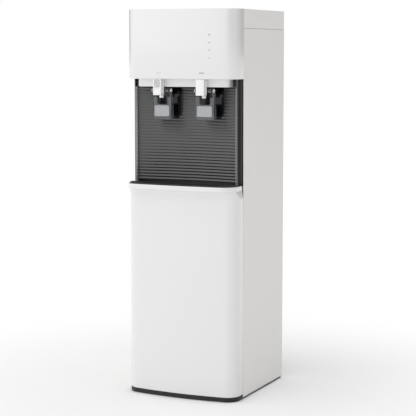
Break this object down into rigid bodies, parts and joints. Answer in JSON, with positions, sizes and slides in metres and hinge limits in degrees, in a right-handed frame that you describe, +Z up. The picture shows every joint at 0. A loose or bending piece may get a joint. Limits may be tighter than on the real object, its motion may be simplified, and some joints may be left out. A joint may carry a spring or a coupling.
{
  "type": "water dispenser",
  "caption": "Floor-standing hot and cold water dispenser: white front, ribbed black alcove with two lever taps, drip tray, lift-off lid, filters, tanks and cooling unit inside.",
  "frame": {"origin": "on the floor, under the middle of the bounding box", "axes": "+Z up; the taps, alcove and drip tray face -Y; +X to the right seen from the front"},
  "size_m": [0.31, 0.342, 0.994],
  "materials": {
    "front_white": "satin moulded ABS",
    "cabinet_paint": "fine textured powder coat",
    "alcove_black": "glossy moulded ABS",
    "tap_black": "high gloss",
    "tap_white": "glossy moulded plastic",
    "smoky_clear": "smoky transparent acrylic",
    "lever_grey": "silver-grey satin plastic",
    "button_grey": "satin plastic",
    "plinth_black": "satin moulded plastic",
    "tray_black": "satin moulded plastic",
    "rubber_black": "moulded rubber",
    "indicator_blue": "translucent light pipe",
    "board_green": "solder-masked board",
    "stainless": "drawn stainless steel",
    "galvanised": "galvanised sheet",
    "copper": "drawn copper tube",
    "foam": "moulded insulation foam",
    "jacket_grey": "glass-fibre jacket",
    "white_plastic": "moulded polypropylene",
    "clear_tube": "silicone tube",
    "black_steel": "black enamel",
    "switch_black": "moulded nylon",
    "rocker_red": "glossy nylon",
    "rocker_green": "glossy nylon",
    "spring_steel": "bright spring wire"
  },
  "bodies": {
    "cabinet": {"base_pan": "plinth_black", "feet": "rubber_black", "side_panel_left": "cabinet_paint", "side_panel_right": "cabinet_paint", "rear_panel": "galvanised", "upper_fascia": "front_white", "indicator_lights": "indicator_blue", "indicator_board": "board_green", "tap_skirt": "front_white", "splash_panel": "alcove_black", "tap_plate_hot": "tap_black", "tap_plate_cold": "tap_black", "tap_body_hot": "tap_black", "tap_body_cold": "tap_black", "tap_nuts": "white_plastic", "nozzle_hot": "tap_white", "nozzle_cold": "tap_white", "tap_cover_hot": "tap_white", "tap_cover_cold": "tap_white", "hinge_pins_hot": "tap_white", "hinge_pins_cold": "tap_white", "lever_spring_hot": "spring_steel", "lever_spring_cold": "spring_steel", "lower_front_panel": "front_white", "tank_shelf": "galvanised", "cold_tank": "stainless", "evaporator_coil": "copper", "cold_tank_foam": "foam", "hot_tank": "stainless", "hot_tank_jacket": "jacket_grey", "heater_band": "galvanised", "thermostats": "white_plastic", "water_tubes": "clear_tube", "compressor": "black_steel", "compressor_grommets": "rubber_black", "condenser": "black_steel", "filter_drier": "copper", "filter_bracket": "galvanised", "filter_manifold": "white_plastic", "sediment_filter": "white_plastic", "carbon_filter": "white_plastic", "polishing_filter": "white_plastic", "inlet_valve": "white_plastic", "drain_pipe": "white_plastic", "control_board": "board_green", "switch_plate": "switch_black", "power_inlet": "switch_black"},
    "lid": {"top_lid": "front_white"},
    "tray": {"drip_tray": "tray_black"},
    "grille": {"drip_grille": "tray_black"},
    "hot_lever": {"lever_hot": "smoky_clear", "lever_pad_hot": "lever_grey"},
    "cold_lever": {"lever_cold": "smoky_clear", "lever_pad_cold": "lever_grey"},
    "hot_stem": {"valve_stem_hot": "white_plastic"},
    "cold_stem": {"valve_stem_cold": "white_plastic"},
    "hot_lock": {"lock_button": "button_grey"},
    "heater_rocker": {"heater_switch": "rocker_red"},
    "cooling_rocker": {"cooling_switch": "rocker_green"},
    "drain_plug": {"drain_cap": "white_plastic"}
  },
  "joints": [
    {"name": "lid_lift", "type": "slide", "parent": "cabinet", "child": "lid", "axis": [0, 0, 1], "range_m": [0, 0.06]},
    {"name": "tray_lift", "type": "slide", "parent": "cabinet", "child": "tray", "axis": [0, 0, 1], "range_m": [0, 0.05]},
    {"name": "grille_lift", "type": "slide", "parent": "tray", "child": "grille", "axis": [0, 0, 1], "range_m": [0, 0.02]},
    {"name": "hot_lever_press", "type": "hinge", "parent": "cabinet", "child": "hot_lever", "pos_m": [-0.06, -0.126, 0.79], "axis": [1, 0, 0], "range_deg": [0, 10], "stiffness_Nm_per_rad": 0.6, "springref_deg": -11.46},
    {"name": "hot_valve_lift", "type": "slide", "parent": "cabinet", "child": "hot_stem", "axis": [0, 0, 1], "range_m": [0, 0.0026]},
    {"name": "cold_lever_press", "type": "hinge", "parent": "cabinet", "child": "cold_lever", "pos_m": [0.06, -0.126, 0.79], "axis": [1, 0, 0], "range_deg": [0, 10], "stiffness_Nm_per_rad": 0.6, "springref_deg": -11.46},
    {"name": "cold_valve_lift", "type": "slide", "parent": "cabinet", "child": "cold_stem", "axis": [0, 0, 1], "range_m": [0, 0.0026]},
    {"name": "hot_lock_press", "type": "slide", "parent": "cabinet", "child": "hot_lock", "axis": [0, 1, 0], "range_m": [0, 0.003], "stiffness_N_per_m": 300, "springref_m": -0.002},
    {"name": "heater_switch_tilt", "type": "hinge", "parent": "cabinet", "child": "heater_rocker", "pos_m": [-0.092, 0.1517, 0.7], "axis": [1, 0, 0], "range_deg": [-12, 0]},
    {"name": "cooling_switch_tilt", "type": "hinge", "parent": "cabinet", "child": "cooling_rocker", "pos_m": [-0.068, 0.1517, 0.7], "axis": [1, 0, 0], "range_deg": [-12, 0]},
    {"name": "drain_cap_pull", "type": "slide", "parent": "cabinet", "child": "drain_plug", "axis": [0, 1, 0], "range_m": [0, 0.02]}
  ],
  "couplings": [
    {"joint": "hot_valve_lift", "follows": "hot_lever_press", "m_per_rad": 0.014324},
    {"joint": "cold_valve_lift", "follows": "cold_lever_press", "m_per_rad": 0.014324}
  ]
}
